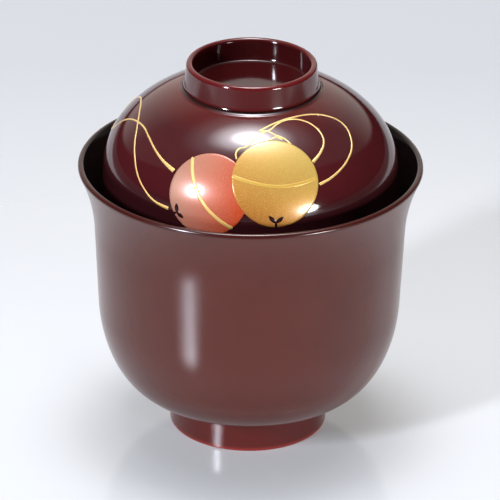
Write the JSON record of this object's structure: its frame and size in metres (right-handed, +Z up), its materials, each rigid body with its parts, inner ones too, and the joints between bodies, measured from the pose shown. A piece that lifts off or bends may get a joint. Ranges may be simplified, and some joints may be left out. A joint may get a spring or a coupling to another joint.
{
  "type": "lidded soup bowl",
  "caption": "Deep lacquered soup bowl on a foot ring with a flared mouth, and a domed lid with a knob ring that drops inside the mouth and lifts off.",
  "frame": {"origin": "centre of the foot ring's base, on the surface that the bowl stands on", "axes": "+Z up along the axis that both pieces are turned about; the lid's figures face -Y"},
  "size_m": [0.095, 0.095, 0.1087],
  "materials": {
    "bowl_lacquer": "satin red-brown lacquer outside, gloss black lacquer inside",
    "lid_lacquer": "gloss red-brown lacquer with raised gold and red lacquer figures outside, gloss black lacquer inside"
  },
  "bodies": {
    "bowl": {"bowl": "bowl_lacquer"},
    "lid": {"lid": "lid_lacquer"}
  },
  "joints": [
    {"name": "lid_lift", "type": "slide", "parent": "bowl", "child": "lid", "axis": [0, 0, 1], "range_m": [0, 0.06]}
  ]
}
